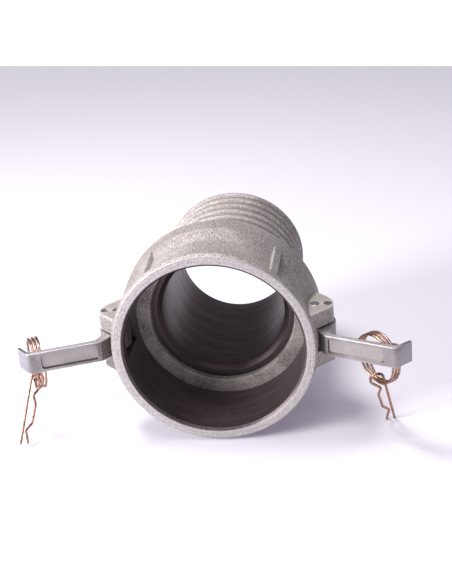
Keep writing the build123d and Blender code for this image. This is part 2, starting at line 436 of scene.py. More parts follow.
def makeBoredWall():
    look = boreLook
    material, tree, shader, where = newFinish("boredWall", look["metallic"])
    away, along = axisDistance(tree, where)
    path = calc(tree, "ADD", along, calc(tree, "MULTIPLY", away, 0.9))
    marks = useGroup(tree, turningMarks, Along=path, Density=look["lines"]).outputs
    stretched = addNode(
        tree, "ShaderNodeMapping", {"Vector": where, "Scale": (1.0, 6.0, 1.0)},
    ).outputs["Vector"]
    streak = useGroup(tree, colourDrift, Vector=stretched, Scale=26.0).outputs["Drift"]
    stain = useGroup(tree, colourDrift, Vector=where, Scale=17.0).outputs["Drift"]
    grain = useGroup(tree, grainField, Vector=where, Scale=look["grain"]).outputs
    tone = calc(tree, "MULTIPLY_ADD", marks["Line"], 0.28, calc(tree, "MULTIPLY", streak, 0.34))
    tone = calc(tree, "MULTIPLY_ADD", grain["Speck"], 0.38, tone)
    colour = blendColour(tree, tone, look["dull"], look["pale"])
    colour = blendColour(tree, calc(tree, "MULTIPLY", stain, 0.3), colour, look["warm"])
    # darker narrow band around the seat's depth
    off = calc(tree, "ABSOLUTE", calc(tree, "SUBTRACT", along, look["seatBandY"]))
    seatBand = calc(tree, "SUBTRACT", 1.0, ramp(tree, off, *look["seatBandReach"]))
    colour = blendColour(tree, calc(tree, "MULTIPLY", seatBand, 0.6), colour, look["seatBand"])
    giveCoat(tree, shader, colour, marks["Band"], look["roughness"])
    height = calc(tree, "MULTIPLY_ADD", marks["Height"], 0.8,
                  calc(tree, "MULTIPLY", grain["Height"], 0.3))
    giveBump(tree, shader, height, 0.7, 0.00014)
    return material


sealLook = {
    "pale": (0.6, 0.54, 0.52),
    "dull": (0.09, 0.075, 0.072),
    "roughness": (0.47, 0.62),
    "grain": 1400.0,
}


def makeSealFinish():
    look = sealLook
    material, tree, shader, where = newFinish("sealRubber", 0.0, 0.6)
    grain = useGroup(tree, grainField, Vector=where, Scale=look["grain"]).outputs
    drift = useGroup(tree, colourDrift, Vector=where, Scale=40.0).outputs["Drift"]
    tone = calc(tree, "MULTIPLY_ADD", grain["Speck"], 0.6, calc(tree, "MULTIPLY", drift, 0.4))
    colour = blendColour(tree, tone, look["dull"], look["pale"])
    giveCoat(tree, shader, colour, grain["Speck"], look["roughness"])
    giveBump(tree, shader, grain["Height"], 0.8, 0.0002)
    return material


leverLook = {
    "pale": (0.405, 0.373, 0.382),
    "dull": (0.215, 0.19, 0.2),
    "speck": (0.1, 0.08, 0.088),
    "rubbedAndHighlight": (0.78, 0.755, 0.765),
    "tip": (0.37, 0.345, 0.41),
    "tipReach": (0.119, 0.126),
    "neck": (0.11, 0.09, 0.085),
    "neckReach": (0.0755, 0.0835),
    "panelFloor": ((0.4, 0.375, 0.362), 0.5),
    # dark panel walls: painted shade inside the recess
    "panelWallShade": ((0.06, 0.048, 0.045), 0.8),
    "metallic": 0.55,
    "roughness": (0.34, 0.5),
}


def makeLeverFinish(name, shade=None):
    # rubbed along both long edges with a painted highlight there, painted shade at the neck between
    # the lugs and on the tip's top and bottom faces, bluish at the tip
    look = leverLook
    material, tree, shader, where = newFinish(name, look["metallic"])
    parts = addNode(tree, "ShaderNodeSeparateXYZ", {"Vector": where}).outputs
    grain = useGroup(tree, grainField, Vector=where, Scale=800.0).outputs
    fine = useGroup(tree, grainField, Vector=where, Scale=2100.0).outputs
    drift = useGroup(tree, colourDrift, Vector=where, Scale=45.0).outputs["Drift"]
    tone = calc(tree, "MULTIPLY_ADD", drift, 0.6, calc(tree, "MULTIPLY", fine["Speck"], 0.4))
    colour = blendColour(tree, tone, look["dull"], look["pale"])
    reach = calc(tree, "ABSOLUTE", parts["X"])
    tip = ramp(tree, reach, *look["tipReach"])
    colour = blendColour(tree, calc(tree, "MULTIPLY", tip, 0.7), colour, look["tip"])
    colour = blendColour(tree, calc(tree, "MULTIPLY", grain["Pit"], 0.42), colour, look["speck"])
    # painted shade at the neck, where it sits between the lugs, broken by grain
    neck = calc(tree, "SUBTRACT", 1.0, ramp(tree, reach, *look["neckReach"]))
    neckShadeAmount = calc(tree, "MULTIPLY", neck, calc(tree, "MULTIPLY_ADD", grain["Speck"], -0.4, 0.9))
    colour = blendColour(tree, neckShadeAmount, colour, look["neck"])
    # light strips along both long edges: partly rubbed wear, partly painted highlight
    edge = ramp(tree, calc(tree, "ABSOLUTE", parts["Z"]), 0.0064, 0.0071)
    rubbedAndHighlight = calc(tree, "MULTIPLY", edge, calc(tree, "MULTIPLY", fine["Speck"], 0.7))
    colour = blendColour(tree, rubbedAndHighlight, colour, look["rubbedAndHighlight"])
    # painted shade on the tip's top and bottom faces
    flank = ramp(tree, calc(tree, "ABSOLUTE", parts["Z"]), 0.0071, 0.0073)
    shaded = calc(tree, "MULTIPLY", flank, calc(tree, "MULTIPLY", tip, 0.8))
    colour = blendColour(tree, shaded, colour, look["neck"])
    if shade:
        colour = blendColour(tree, shade[1], colour, shade[0])
    giveCoat(tree, shader, colour, drift, look["roughness"])
    height = calc(tree, "MULTIPLY_ADD", grain["Height"], 0.6,
                  calc(tree, "MULTIPLY", fine["Height"], 0.4))
    giveBump(tree, shader, height, 0.6, 0.00014)
    return material


pinLook = {
    "pale": (0.66, 0.64, 0.63),
    "dull": (0.42, 0.4, 0.4),
    "roughness": (0.45, 0.3),
    "lines": 2600.0,
    "grain": 1600.0,
}


def makePinSteel():
    look = pinLook
    material, tree, shader, where = newFinish("pinSteel", 0.95)
    parts = addNode(tree, "ShaderNodeSeparateXYZ", {"Vector": where}).outputs
    marks = useGroup(tree, turningMarks, Along=parts["Z"], Density=look["lines"]).outputs
    grain = useGroup(tree, grainField, Vector=where, Scale=look["grain"]).outputs
    colour = blendColour(tree, grain["Speck"], look["dull"], look["pale"])
    giveCoat(tree, shader, colour, marks["Line"], look["roughness"])
    giveBump(tree, shader, grain["Height"], 0.4, 0.00006)
    return material


wireLook = {
    "hues": (
        (0.3, (0.14, 0.066, 0.062)), (0.42, (0.5, 0.26, 0.22)), (0.5, (0.5, 0.32, 0.2)),
        (0.58, (0.2, 0.13, 0.1)), (0.7, (0.56, 0.29, 0.31)),
    ),
    "hollow": (0.1, 0.06, 0.05),
    "roughness": (0.38, 0.24),
    "grain": 2400.0,
}


def makePlatedWire():
    # yellow zinc: gold that drifts to copper and rose, browned in the hollows
    look = wireLook
    material, tree, shader, where = newFinish("platedWire", 0.92)
    band = noise(tree, where, 150.0, 2.0, distortion=1.2)
    hues = addNode(tree, "ShaderNodeValToRGB", {"Fac": band})
    stops = hues.color_ramp
    while len(stops.elements) < len(look["hues"]):
        stops.elements.new(0.5)
    for element, (position, colour) in zip(stops.elements, look["hues"]):
        element.position = position
        element.color = (*colour, 1.0)
    grain = useGroup(tree, grainField, Vector=where, Scale=look["grain"]).outputs
    pits = calc(tree, "MULTIPLY", grain["Pit"], 0.5)
    colour = blendColour(tree, pits, hues.outputs["Color"], look["hollow"])
    giveCoat(tree, shader, colour, grain["Speck"], look["roughness"])
    giveBump(tree, shader, grain["Height"], 0.35, 0.00004)
    return material


castSkin, turnedRim, boredWall = makeCastSkin(), makeTurnedRim(), makeBoredWall()
castingCoats = [castSkin, turnedRim, boredWall]
sealRubber, leverMetal = makeSealFinish(), makeLeverFinish("leverMetal")
panelFloor = makeLeverFinish("panelFloor", leverLook["panelFloor"])
panelWallShade = makeLeverFinish("panelWallShade", leverLook["panelWallShade"])
pinSteel, platedWire = makePinSteel(), makePlatedWire()
print("finishes built")


# casting: one turned section, with lugs and ribs raised on it, then slots and holes cut
mouthY = -25.6
casting = {
    "boreR": 60.4, "mouthChamfer": 1.8,
    "faceR": 67.4, "rimR": 69.0, "rimBevel": 2.2, "rimLand": 2.4,
    "floorR": 66.0, "floorStart": 6.2, "slopeStart": 31.0,
    "shoulderR": 69.8, "shoulderStart": 43.4, "shoulderEnd": 58.6,
    "neckR": 57.0, "neckStart": 67.5,
    "length": 163.0, "grooveR": 62.6, "seatY": 32.25, "grooveY": 25.6, "seatLipR": 46.8,
    "shankBoreR": 43.6, "crestR": 52.0, "rootR": 49.7, "ridges": 7, "ridgePitch": 11.4,
    "ridgeRise": 1.6, "ridgeLand": 2.6, "lastGap": 3.4, "endChamfer": 1.2,
}
lug = {
    "half": 20.0, "outer": 79.4, "foot": 67.4, "frontDepth": 9.4, "cornerDepth": 20.8,
    "backDepth": 30.2, "shoulderX": 76.4, "shoulderDepth": 35.2, "edge": 1.3, "blend": 1.6,
    "pinX": 67.1, "pinHoleR": 3.52, "clipHoleX": 75.9, "clipHoleR": 3.0,
    "slotHalf": 8.75, "slotFront": 9.0, "slotBack": 40.0,
    "slotInner": 54.4, "slotOuter": 95.0, "slotStep": 70.0, "slotDeep": 45.6,
}
rib = {
    "angle": 39.5, "half": 2.6, "top": 68.9, "rise": 0.85,
    "draft": 7.0, "edge": 0.35, "blend": 0.6, "start": 3.0, "end": 46.0,
}


def castingSection():
    # outside from the mouth to the end, then back inside: radius, place and corner radius
    c = casting
    endY = mouthY + c["length"]
    firstCrest = endY - c["lastGap"] - (c["ridges"] - 1) * c["ridgePitch"]
    firstRoot = firstCrest - c["ridgeLand"] - c["ridgeRise"]
    outside = [
        (c["faceR"], mouthY, 0.8), (c["rimR"], mouthY + c["rimBevel"], 0.9),
        (c["rimR"], mouthY + c["rimBevel"] + c["rimLand"], 0.9),
        (c["floorR"], mouthY + c["floorStart"], 1.4), (c["floorR"], mouthY + c["slopeStart"], 6.0),
        (c["shoulderR"], mouthY + c["shoulderStart"], 1.6),
        (c["shoulderR"], mouthY + c["shoulderEnd"], 2.6),
        (c["neckR"], mouthY + c["neckStart"], 4.0), (c["rootR"] + 1.0, firstRoot - 3.0, 2.5),
    ]
    for index in reversed(range(c["ridges"])):
        crest = endY - c["lastGap"] - index * c["ridgePitch"]
        outside += [
            (c["rootR"], crest - c["ridgeLand"] - c["ridgeRise"], 0.8),
            (c["crestR"], crest - c["ridgeLand"], 0.45), (c["crestR"], crest, 0.55),
        ]
    outside.append((c["rootR"], endY, 0.4))
    inside = [
        (c["shankBoreR"] + c["endChamfer"], endY, 0.2),
        (c["shankBoreR"], endY - c["endChamfer"], 0.4),
        (c["shankBoreR"], c["seatY"] + c["seatLipR"] - c["shankBoreR"], 1.2),
        (c["seatLipR"], c["seatY"], 0.5), (c["grooveR"], c["seatY"], 0.3),
        (c["grooveR"], c["grooveY"], 0.15), (c["boreR"], c["grooveY"], 0.2),
        (c["boreR"], mouthY + c["mouthChamfer"], 0.5),
        (c["boreR"] + c["mouthChamfer"], mouthY, 0.5),
    ]
    return outside, inside


def smoothLarger(a, b, k):
    share = np.clip(0.5 + (a - b) / (2 * k), 0, 1)
    return b + (a - b) * share + k * share * (1 - share)


def smoothSmaller(a, b, k):
    return -smoothLarger(-a, -b, k)


def raisedShape(base, angle, y):
    # angle is from +X towards +Z; base is the turned radius there
    depth = y - mouthY
    across, up = np.abs(np.cos(angle)) + 1e-9, np.abs(np.sin(angle)) + 1e-9
    slope = (lug["outer"] - lug["foot"]) / (lug["cornerDepth"] - lug["frontDepth"])
    front = (lug["foot"] + (depth - lug["frontDepth"]) * slope) / across
    back = (lug["outer"] - (depth - lug["backDepth"]) * (lug["outer"] - lug["shoulderX"])
            / (lug["shoulderDepth"] - lug["backDepth"])) / across
    tail = (lug["shoulderX"] - (depth - lug["shoulderDepth"]) * 8.0 / 8.2) / across
    height = smoothSmaller(lug["outer"] / across, lug["half"] / up, lug["edge"])
    for limit in (front, back, tail):
        height = smoothSmaller(height, limit, lug["edge"])
    height = np.where(depth < lug["frontDepth"] - 4.5, 0.0, height)
    shape = smoothLarger(base, height, lug["blend"])
    for turn in (rib["angle"], -rib["angle"], 180 - rib["angle"], 180 + rib["angle"]):
        off = np.abs((angle - radians(90 - turn) + pi) % (2 * pi) - pi)
        aside = casting["floorR"] * np.sin(np.minimum(off, 1.2))
        top = rib["top"] + rib["rise"] * np.clip((depth - 6) / 34, 0, 1)
        ridge = top + np.minimum(0, (rib["half"] - aside) * rib["draft"])
        ridge = smoothSmaller(ridge, top, rib["edge"])
        fade = np.clip((depth - rib["start"]) / 1.5, 0, 1)
        fade = fade * np.clip((rib["end"] - depth) / 2.0, 0, 1)
        ridge = np.where(fade > 0, ridge, 0.0)
        shape = np.where(off < 0.2, smoothLarger(shape, ridge, rib["blend"]), shape)
    gate = (depth > rib["start"]) & (depth < rib["end"])
    return np.where(gate, np.maximum(shape, base), base)


def denseSection():
    outside, inside = castingSection()
    corners = [(r, y) for r, y, _ in outside + inside]
    radii = [k for _, _, k in outside + inside]
    rounded = roundCorners(corners, radii, steps=3)
    # long runs are cut up where lugs and ribs will rise
    result = []
    count = len(rounded)
    for i, (r, y) in enumerate(rounded):
        nextR, nextY = rounded[(i + 1) % count]
        result.append((r, y))
        depth, nextDepth = y - mouthY, nextY - mouthY
        outer = r > 64 and nextR > 64 and max(depth, nextDepth) < 60
        reach = sqrt((nextR - r) ** 2 + (nextY - y) ** 2)
        step = 1.15 if outer and depth > 2 else 9.0
        pieces = max(1, int(reach / step + 0.5))
        for k in range(1, pieces):
            result.append((r + (nextR - r) * k / pieces, y + (nextY - y) * k / pieces))
    return result


def fineAngles():
    # closer lines where lugs and ribs rise
    spans = []
    for centre in (0, 180):
        spans += [(centre + 11.0, centre + 19.5, 0.42), (centre - 19.5, centre - 11.0, 0.42)]
    for turn in (rib["angle"], -rib["angle"], 180 - rib["angle"], 180 + rib["angle"]):
        middle = 90 - turn
        spans.append((middle - 3.4, middle + 3.4, 0.36))
    angles = []
    place = 0.0
    while place < 359.3:
        angles.append(place)
        step = 1.7
        for low, high, fine in spans:
            for shift in (-360, 0, 360):
                if low + shift <= place < high + shift:
                    step = fine
                elif place < low + shift < place + step:
                    step = low + shift - place
        place += step
    return np.radians(np.array(angles))


castCoat, rimCoat, boredCoat = range(3)  # places in castingCoats


def makeCasting():
    section = denseSection()
    angles = fineAngles()
    count, around = len(section), len(angles)
    rs = np.array([p[0] for p in section])
    ys = np.array([p[1] for p in section])
    c = casting
    outerRun = (rs > 62.7) & (ys > mouthY + 0.01)
    outerRun |= (rs > c["rootR"] - 0.3) & (ys > c["seatY"] + 1)
    points = np.zeros((around, count, 3))
    for k, angle in enumerate(angles):
        shaped = np.where(outerRun, raisedShape(rs, np.full(count, angle), ys), rs)
        points[k, :, 0] = shaped * cos(angle)
        points[k, :, 1] = ys
        points[k, :, 2] = shaped * sin(angle)
    faces, finish = [], []
    for k in range(around):
        a, b = k * count, (k + 1) % around * count
        for i in range(count):
            j = (i + 1) % count
            faces.append((a + i, a + j, b + j, b + i))
            middleR, middleY = (rs[i] + rs[j]) / 2, (ys[i] + ys[j]) / 2
            inner = middleR < 63 and middleY < c["seatY"] + 0.01 or middleR < c["rootR"] - 1.5
            onFace = middleY < mouthY + 0.6
            finish.append(rimCoat if onFace else boredCoat if inner else castCoat)
    piece = meshPiece("couplerBody", points.reshape(-1, 3) * mm, faces, castingCoats, finish)
    editMesh(piece, outwardFaces)
    print("casting grid", around, "x", count)

    place = Matrix.Identity(4)
    front, back = mouthY + lug["slotFront"], mouthY + lug["slotBack"]
    inner, outer, step = lug["slotInner"], lug["slotOuter"], lug["slotStep"]
    deep, half = mouthY + lug["slotDeep"], lug["slotHalf"] * mm
    for sign in (1, -1):
        outline = [
            (inner, front), (outer, front), (outer, deep),
            (step, deep), (step, back), (inner, back),
        ]
        outline = [(sign * x * mm, y * mm) for x, y in outline]
        cutter = prism("slotCut", outline, -half, half, place, castingCoats)
        # the slot walls take the dark bored finish: painted shade inside the slots between the lugs
        shadedSlotWalls = cutter.data.polygons
        shadedSlotWalls.foreach_set("material_index", [boredCoat] * len(shadedSlotWalls))
        combine(piece, cutter, "DIFFERENCE")
    for sign in (1, -1):
        for x, radius in ((lug["pinX"], lug["pinHoleR"]), (lug["clipHoleX"], lug["clipHoleR"])):
            hole = circle(sign * x * mm, 0, radius * mm, 48)
            cutter = prism("holeCut", hole, -22 * mm, 22 * mm, place, castingCoats)
            combine(piece, cutter, "DIFFERENCE")
    softShade(piece, 38)
    return piece


couplerBody = makeCasting()
print("casting built,", len(couplerBody.data.polygons), "faces")


# seal in its groove
seal = {"innerR": 50.8, "outerR": 62.3, "frontY": 25.9, "backY": 32.25, "round": 1.2}


def makeSeal():
    s = seal
    corners = [
        (s["innerR"], s["frontY"]), (s["outerR"], s["frontY"]),
        (s["outerR"], s["backY"]), (s["innerR"], s["backY"]),
    ]
    section = roundCorners(corners, [s["round"], 0.3, 0.3, s["round"]], steps=5)
    place = Matrix(((1, 0, 0, 0), (0, 0, 1, 0), (0, 1, 0, 0), (0, 0, 0, 1)))
    section = [(r * mm, y * mm) for r, y in section]
    piece = lathe("sealRing", section, place, [sealRubber], around=160)
    softShade(piece, 40)
    return piece


sealRing = makeSeal()
print("seal built")


# pins
pin = {"x": 67.1, "r": 3.5, "half": 20.25, "chamfer": 0.5, "dimpleR": 1.3, "dimple": 0.5}


def makePin(side):
    p = pin
    top, flat, turned = p["half"], p["r"] - p["chamfer"], p["half"] - p["chamfer"]
    section = [
        (0, -top + p["dimple"]), (p["dimpleR"], -top), (flat, -top), (p["r"], -turned),
        (p["r"], turned), (flat, top), (p["dimpleR"], top), (0, top - p["dimple"]),
    ]
    section = [(r * mm, h * mm) for r, h in section]
    place = Matrix.Translation((sides[side] * p["x"] * mm, 0, 0))
    piece = lathe("pivotPin." + side, section, place, [pinSteel], around=48)
    softShade(piece, 30)
    return piece


# cam levers
lever = {
    "half": 7.3, "camR": 13.5, "heelR": 5.5, "heelAngle": 202.0, "heelFoot": 296.0,
    "face": -18.2, "thick": 4.4, "rootU": 15.9, "rootStep": (9.4, -13.9), "bendU": 65.3,
    "tipLength": 14.3, "tipAngle": 67.0, "tipThick": 2.2, "bendRound": 4.0,
    "neckU": 20.5, "neckBow": 1.5, "edge": 0.7,
    "panel": (17.6, 56.4), "panelHalf": 5.2, "panelDepth": 0.9, "panelRound": 1.8,
    "bossU": 57.9, "bossN": -8.3, "bossR": 6.2, "bossHalf": 2.1, "holeR": 4.4, "pinHoleR": 3.55,
    "restAngle": {"right": -24.0, "left": -19.5},
}


def leverPlace(side):
    sign, turn = sides[side], radians(lever["restAngle"][side])
    along = Vector((sign * cos(turn), sin(turn), 0))
    back = Vector((-sign * sin(turn), cos(turn), 0))
    place = Matrix.Identity(4)
    for i in range(3):
        place[i][0], place[i][1], place[i][2] = along[i], back[i], (0, 0, sign)[i]
    place[0][3] = sign * pin["x"] * mm
    return place


def polar(radius, angle):
    return (radius * cos(radians(angle)), radius * sin(radians(angle)))


def arcThrough(start, middle, end, steps):
    (ax, ay), (bx, by), (cx, cy) = start, middle, end
    d = 2 * (ax * (by - cy) + bx * (cy - ay) + cx * (ay - by))
    aa, bb, cc = ax * ax + ay * ay, bx * bx + by * by, cx * cx + cy * cy
    ux = (aa * (by - cy) + bb * (cy - ay) + cc * (ay - by)) / d
    uy = (aa * (cx - bx) + bb * (ax - cx) + cc * (bx - ax)) / d
    radius = sqrt((ax - ux) ** 2 + (ay - uy) ** 2)
    first, last = atan2(ay - uy, ax - ux), atan2(cy - uy, cx - ux)
    via = atan2(by - uy, bx - ux)
    sweep = (last - first) % (2 * pi)
    if (via - first) % (2 * pi) > sweep:
        sweep -= 2 * pi
    turns = [first + sweep * k / steps for k in range(steps + 1)]
    return [(ux + radius * cos(a), uy + radius * sin(a)) for a in turns]


def leverOutline():
    v = lever
    run = (cos(radians(v["tipAngle"])), sin(radians(v["tipAngle"])))
    tipFront = (v["bendU"] + v["tipLength"] * run[0], v["face"] + v["tipLength"] * run[1])
    tipBack = (tipFront[0] - v["tipThick"] * run[1], tipFront[1] + v["tipThick"] * run[0])
    backN = v["face"] + v["thick"]
    bendBack = (tipBack[0] - (tipBack[1] - backN) * run[0] / run[1] - 0.8, backN)
    lobeStart, lobeEnd = polar(v["camR"], -12), polar(v["camR"], 90)
    heel, heelFoot = polar(v["heelR"], v["heelAngle"]), polar(v["heelR"], v["heelFoot"])
    flank = polar((v["camR"] + v["heelR"]) / 2 - 0.6, (90 + v["heelAngle"]) / 2)
    neckFoot = (v["neckU"], backN)
    neckMiddle = ((neckFoot[0] + lobeStart[0]) / 2, (neckFoot[1] + lobeStart[1]) / 2)
    neckBend = (neckMiddle[0] - v["neckBow"], neckMiddle[1] - v["neckBow"])
    heelMiddle = polar(v["heelR"], (v["heelAngle"] + v["heelFoot"]) / 2)
    outline = arcThrough(heel, heelMiddle, heelFoot, 8)
    runPoints = [
        heelFoot, v["rootStep"], (v["rootU"], v["face"]), (v["bendU"], v["face"]),
        tipFront, tipBack, bendBack, neckFoot,
    ]
    corner = [0, 1.2, 1.0, v["bendRound"], 0.5, 0.5, 2.2, 0]
    outline += roundCorners(runPoints, corner, steps=5, closed=False)[1:]
    outline += arcThrough(neckFoot, neckBend, lobeStart, 6)[1:]
    outline += arcThrough(lobeStart, polar(v["camR"], 40), lobeEnd, 20)[1:]
    outline += arcThrough(lobeEnd, flank, heel, 12)[1:-1]
    return outline


def roundedBox(low, high, half, radius):
    corners = [(low, -half), (high, -half), (high, half), (low, half)]
    return roundCorners(corners, [radius] * 4, steps=5)


def makeLever(side):
    v, place = lever, leverPlace(side)
    coats = [leverMetal, panelFloor, panelWallShade]
    scaled = [(a * mm, b * mm) for a, b in leverOutline()]
    half, bossHalf = v["half"] * mm, v["bossHalf"] * mm
    piece = prism("camLever." + side, scaled, -half, half, place, coats, v["edge"] * mm, 3)
    bossU, bossN, bossR = v["bossU"], v["bossN"], v["bossR"]
    turns = [radians(a) for a in range(0, 181, 9)]
    boss = [(bossU + bossR, v["face"] + 2)]
    boss += [(bossU + bossR * cos(a), bossN + bossR * sin(a)) for a in turns]
    boss.append((bossU - bossR, v["face"] + 2))
    boss = [(a * mm, b * mm) for a, b in boss]
    eye = prism("boss", boss, -bossHalf, bossHalf, place, coats, 0.5 * mm, 2)
    combine(piece, eye, "UNION")
    for x, y, radius in ((bossU, bossN, v["holeR"]), (0, 0, v["pinHoleR"])):
        hole = [(a * mm, b * mm) for a, b in circle(x, y, radius, 40)]
        combine(piece, prism("cut", hole, -9 * mm, 9 * mm, place, coats), "DIFFERENCE")
    # recess with a little draft, cut from the face; its walls take a dark finish, painted shade
    # inside the recess
    low, high = v["panel"]
    outer = roundedBox(low - 0.3, high + 0.3, v["panelHalf"] + 0.3, v["panelRound"])
    inner = roundedBox(low + 0.45, high - 0.45, v["panelHalf"] - 0.75, v["panelRound"] - 0.4)
    inner = [(a, w + sides[side] * 0.4) for a, w in inner]
    count = len(outer)
    middle = roundedBox(low, high, v["panelHalf"], v["panelRound"])
    rings = [
        (outer, v["face"] - 0.7), (middle, v["face"] + 0.15), (inner, v["face"] + v["panelDepth"]),
    ]
    points = [place @ Vector((a * mm, n * mm, w * mm)) for ring, n in rings for a, w in ring]
    faces = [list(range(count)), list(range(3 * count - 1, 2 * count - 1, -1))]
    for level in (0, count):
        for i in range(count):
            j = (i + 1) % count
            faces.append([level + i, level + j, level + count + j, level + count + i])
    floorCoat, wallShadeCoat = 1, 2
    coatOf = [floorCoat] * 2 + [wallShadeCoat] * (2 * count)
    cutter = meshPiece("panelCut", points, faces, coats, coatOf)
    editMesh(cutter, outwardFaces)
    combine(piece, cutter, "DIFFERENCE")
    softShade(piece, 32)
    return piece


# pull rings and safety clips, wire swept by geometry nodes
ring = {
    "r": 17.3, "wireR": 0.85, "turns": 3, "steps": 72,
    "close": 1.78, "open": 2.75, "opening": 42.0, "end": 88.0,
    "drop": 10.95, "reach": 13.2, "heading": {"right": 130.0, "left": 63.0},
}
clip = {
    "wireR": 0.9, "eyeR": 4.4, "length": 46.0, "arcPoints": 9,
    "place": {"right": 11.0, "left": 20.0},
    "lean": {"right": (6.8, 17.2), "left": (9.2, -18.8)},
    "spread": {"right": (-0.966, -0.146, -0.21), "left": (-0.79, 0.45, -0.40)},
}
holeAngle = degrees(atan2(ring["reach"], ring["drop"])) - 180


def coilMiddle(angle):
    return ((angle - ring["end"]) / 360 % 1 - 0.5) * ring["close"]


def ringFrame(side):
    hole = leverPlace(side) @ Vector((lever["bossU"] * mm, lever["bossN"] * mm, 0)) / mm
    heading, sign = radians(ring["heading"][side]), sides[side]
    along = Vector((sign * cos(heading), sin(heading), 0))
    across = Vector((sign * sin(heading), -cos(heading), 0))
    centre = hole + along * ring["reach"] - Vector((0, 0, ring["drop"]))
    centre -= across * coilMiddle(holeAngle)
    return centre, along, across


def newTree(name, sockets):
    tree = bpy.data.node_groups.new(name, "GeometryNodeTree")
    for way in ("INPUT", "OUTPUT"):
        tree.interface.new_socket("Geometry", in_out=way, socket_type="NodeSocketGeometry")
    for key, kind in sockets.items():
        tree.interface.new_socket(key, in_out="INPUT", socket_type=kind)
    return tree, tree.nodes.new("NodeGroupInput").outputs, tree.nodes.new("NodeGroupOutput")


def sweepWire(tree, curve, radius, material, leave):
    # round wire along a curve, closed at its ends
    hoop = addNode(
        tree, "GeometryNodeCurvePrimitiveCircle", {"Resolution": 14, "Radius": radius},
    )
    swept = addNode(
        tree, "GeometryNodeCurveToMesh",
        {"Curve": curve, "Profile Curve": hoop.outputs["Curve"], "Fill Caps": True},
    )
    solid = addNode(tree, "GeometryNodeRealizeInstances", {"Geometry": swept.outputs["Mesh"]})
    coated = addNode(
        tree, "GeometryNodeSetMaterial",
        {"Geometry": solid.outputs["Geometry"], "Material": material},
    )
    tree.links.new(coated.outputs["Geometry"], leave.inputs["Geometry"])


def vectorMath(tree, operation, a, b=None, scale=None):
    inputs = {k: v for k, v in {0: a, 1: b, 3: scale}.items() if v is not None}
    return addNode(tree, "ShaderNodeVectorMath", inputs, operation=operation).outputs[0]


def buildCoilTree():
    # turns lie close in the lever's hole and in the clip's eye, and fan out between
    tree, given, leave = newTree("pullRingCoil", {
        "Centre": vectorSocket, "Along": vectorSocket, "Across": vectorSocket,
        "Radius": floatSocket, "Wire radius": floatSocket,
        "Turns": "NodeSocketInt", "Steps": "NodeSocketInt",
        "Close": floatSocket, "Open": floatSocket, "Opening": floatSocket, "End": floatSocket,
        "Hole": floatSocket, "Eye": floatSocket, "Finish": "NodeSocketMaterial",
    })
    points = calc(tree, "ADD", calc(tree, "MULTIPLY", given["Turns"], given["Steps"]), 1.0)
    line = addNode(tree, "GeometryNodeMeshLine", {"Count": points})
    curve = addNode(tree, "GeometryNodeMeshToCurve", {"Mesh": line.outputs["Mesh"]})
    index = addNode(tree, "GeometryNodeInputIndex").outputs["Index"]
    turn = calc(tree, "DIVIDE", index, given["Steps"])
    angle = calc(tree, "MULTIPLY_ADD", turn, 2 * pi, given["End"])
    apart = []
    for key in ("Hole", "Eye"):
        off = calc(tree, "ADD", calc(tree, "SUBTRACT", angle, given[key]), pi)
        off = calc(tree, "SUBTRACT", calc(tree, "FLOORED_MODULO", off, 2 * pi), pi)
        apart.append(calc(tree, "ABSOLUTE", off))
    near = calc(tree, "DIVIDE", calc(tree, "MINIMUM", *apart), given["Opening"])
    near = calc(tree, "MINIMUM", near, 1.0)
    wave = calc(tree, "COSINE", calc(tree, "MULTIPLY", near, pi))
    share = calc(tree, "MULTIPLY_ADD", wave, -0.5, 0.5)
    widening = calc(tree, "SUBTRACT", given["Open"], given["Close"])
    spacing = calc(tree, "MULTIPLY_ADD", widening, share, given["Close"])
    halfTurns = calc(tree, "DIVIDE", given["Turns"], 2.0)
    offset = calc(tree, "MULTIPLY", calc(tree, "SUBTRACT", turn, halfTurns), spacing)
    aside = calc(tree, "MULTIPLY", calc(tree, "SINE", angle), given["Radius"])
    outwards = vectorMath(tree, "SCALE", given["Along"], scale=aside)
    down = calc(tree, "MULTIPLY", given["Radius"], -1.0)
    down = calc(tree, "MULTIPLY", calc(tree, "COSINE", angle), down)
    drop = addNode(tree, "ShaderNodeCombineXYZ", {"Z": down}).outputs[0]
    place = vectorMath(tree, "ADD", vectorMath(tree, "ADD", outwards, drop), given["Centre"])
    shift = vectorMath(tree, "SCALE", given["Across"], scale=offset)
    place = vectorMath(tree, "ADD", place, shift)
    wound = addNode(
        tree, "GeometryNodeSetPosition",
        {"Geometry": curve.outputs["Curve"], "Position": place},
    )
    sweepWire(tree, wound.outputs["Geometry"], given["Wire radius"], given["Finish"], leave)
    return tree


def buildClipTree():
    tree, given, leave = newTree("clipWire", {
        "Wire radius": floatSocket, "Arc points": "NodeSocketInt", "Finish": "NodeSocketMaterial",
    })
    corner = addNode(tree, "GeometryNodeInputNamedAttribute", data_type="FLOAT")
    corner.inputs["Name"].default_value = "corner"
    line = addNode(tree, "GeometryNodeMeshToCurve", {"Mesh": given["Geometry"]})
    bent = addNode(
        tree, "GeometryNodeFilletCurve",
        {"Curve": line.outputs["Curve"], "Radius": corner.outputs["Attribute"]},
    )
    bent.mode = "POLY"
    tree.links.new(given["Arc points"], bent.inputs["Count"])
    bent.inputs["Limit Radius"].default_value = True
    sweepWire(tree, bent.outputs["Curve"], given["Wire radius"], given["Finish"], leave)
    return tree


def runTree(piece, tree, values):
    modifier = piece.modifiers.new(tree.name, "NODES")
    modifier.node_group = tree
    for item in tree.interface.items_tree:
        if item.item_type == "SOCKET" and item.in_out == "INPUT" and item.name in values:
            modifier[item.identifier] = values[item.name]
    return settle(piece)


coilTree, clipTree = buildCoilTree(), buildClipTree()
print("wire trees built")


